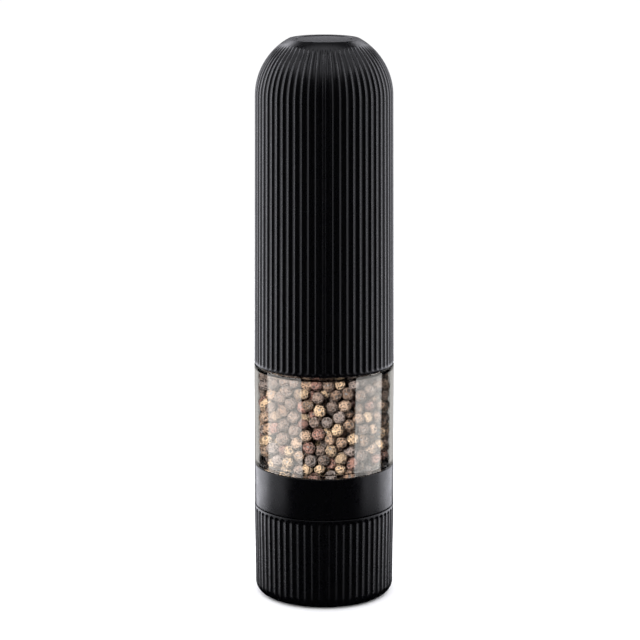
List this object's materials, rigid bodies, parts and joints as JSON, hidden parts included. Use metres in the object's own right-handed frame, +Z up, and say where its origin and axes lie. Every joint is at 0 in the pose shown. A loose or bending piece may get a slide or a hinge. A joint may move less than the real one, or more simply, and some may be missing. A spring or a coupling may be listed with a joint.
{
  "type": "pepper mill",
  "caption": "Slim battery pepper mill: domed fluted casing with a push button on top, clear peppercorn window, smooth band and fluted base cap.",
  "frame": {"origin": "centre of the base cap's flat underside, which the mill stands on", "axes": "+Z up along the mill's own axis, -Y towards the front"},
  "size_m": [0.055, 0.055, 0.22],
  "materials": {
    "black_plastic": "moulded near-black plastic with a satin sheen",
    "clear_plastic": "clear acrylic",
    "peppercorn": "dried black peppercorns, loosely packed",
    "ceramic": "fired grinding ceramic",
    "steel": "plated steel",
    "grey_plastic": "moulded grey plastic",
    "gear_plastic": "natural acetal",
    "brass": "pressed brass",
    "copper_winding": "enamelled copper wire on a steel core",
    "magnet": "rolled ferrite strip",
    "cell_wrap": "plain printed cell wrap with no lettering",
    "red_wire": "wire insulation",
    "black_wire": "wire insulation"
  },
  "bodies": {
    "base": {"base_cap": "black_plastic"},
    "chamber": {"grinder_collar": "black_plastic", "chamber_tube": "clear_plastic", "peppercorn_fill": "peppercorn", "shaft_bridge": "black_plastic", "burr_housing": "black_plastic", "outer_burr": "ceramic", "housing_screw_1": "steel", "housing_screw_2": "steel", "housing_screw_3": "steel"},
    "drive": {"drive_shaft": "steel", "inner_burr": "ceramic", "burr_spring": "steel", "spring_washer": "steel"},
    "adjuster": {"adjust_knob": "black_plastic"},
    "power_unit": {"motor_deck": "black_plastic", "deck_screw_1": "steel", "deck_screw_2": "steel", "gear_housing": "grey_plastic", "gear_lid": "grey_plastic", "ring_gear": "gear_plastic", "motor_screw_1": "steel", "motor_screw_2": "steel", "motor_can": "steel", "motor_magnet": "magnet", "motor_end_cap": "grey_plastic", "motor_terminal_1": "brass", "motor_terminal_2": "brass", "motor_sleeve": "grey_plastic", "tie_bolt_1": "steel", "tie_bolt_2": "steel", "battery_tray": "grey_plastic", "battery_1": "cell_wrap", "battery_2": "cell_wrap", "battery_3": "cell_wrap", "battery_4": "cell_wrap", "cell_spring_1": "steel", "cell_spring_2": "steel", "cell_spring_3": "steel", "cell_spring_4": "steel", "upper_bridge_1": "brass", "upper_bridge_2": "brass", "lower_bridge": "brass", "positive_terminal": "brass", "negative_terminal": "brass", "lead_motor_to_switch": "red_wire", "lead_motor_to_cell": "black_wire", "lead_cell_to_switch": "black_wire", "switch_body": "black_plastic"},
    "carrier": {"planet_carrier": "steel"},
    "planet_1": {"planet_gear_1": "gear_plastic"},
    "planet_2": {"planet_gear_2": "gear_plastic"},
    "planet_3": {"planet_gear_3": "gear_plastic"},
    "rotor": {"sun_gear": "brass", "motor_armature": "copper_winding"},
    "plunger": {"switch_plunger": "gear_plastic"},
    "casing": {"top_casing": "black_plastic", "button_guide": "black_plastic", "button_spring": "steel"},
    "button": {"push_button": "black_plastic"}
  },
  "joints": [
    {"name": "cap_release", "type": "slide", "parent": "base", "child": "chamber", "axis": [0, 0, 1], "range_m": [0, 0.04]},
    {"name": "fill_opening", "type": "slide", "parent": "chamber", "child": "power_unit", "axis": [0, 0, 1], "range_m": [0, 0.03]},
    {"name": "casing_removal", "type": "slide", "parent": "power_unit", "child": "casing", "axis": [0, 0, 1], "range_m": [0, 0.12]},
    {"name": "button_press", "type": "slide", "parent": "casing", "child": "button", "axis": [0, 0, -1], "range_m": [0, 0.002], "stiffness_N_per_m": 600, "springref_m": -0.003, "deforming": ["button_spring"]},
    {"name": "plunger_press", "type": "slide", "parent": "power_unit", "child": "plunger", "axis": [0, 0, -1], "range_m": [0, 0.002]},
    {"name": "shaft_turn", "type": "hinge", "parent": "chamber", "child": "drive", "pos_m": [0, 0, 0.0427], "axis": [0, 0, 1], "continuous": true},
    {"name": "grind_setting", "type": "hinge", "parent": "drive", "child": "adjuster", "pos_m": [0, 0, 0.009], "axis": [0, 0, 1], "range_deg": [-360, 360]},
    {"name": "carrier_turn", "type": "hinge", "parent": "power_unit", "child": "carrier", "pos_m": [0, 0, 0.1035], "axis": [0, 0, 1], "continuous": true},
    {"name": "rotor_turn", "type": "hinge", "parent": "power_unit", "child": "rotor", "pos_m": [0, 0, 0.1136], "axis": [0, 0, 1], "continuous": true},
    {"name": "planet_turn_1", "type": "hinge", "parent": "carrier", "child": "planet_1", "pos_m": [0.0081, 0, 0.1053], "axis": [0, 0, 1], "continuous": true},
    {"name": "planet_turn_2", "type": "hinge", "parent": "carrier", "child": "planet_2", "pos_m": [-0.00405, 0.00701, 0.1053], "axis": [0, 0, 1], "continuous": true},
    {"name": "planet_turn_3", "type": "hinge", "parent": "carrier", "child": "planet_3", "pos_m": [-0.00405, -0.00701, 0.1053], "axis": [0, 0, 1], "continuous": true}
  ],
  "couplings": [
    {"joint": "plunger_press", "follows": "button_press", "ratio": 1},
    {"joint": "carrier_turn", "follows": "shaft_turn", "ratio": 1},
    {"joint": "rotor_turn", "follows": "shaft_turn", "ratio": 4.5},
    {"joint": "planet_turn_1", "follows": "shaft_turn", "ratio": -2.8},
    {"joint": "planet_turn_2", "follows": "shaft_turn", "ratio": -2.8},
    {"joint": "planet_turn_3", "follows": "shaft_turn", "ratio": -2.8}
  ]
}
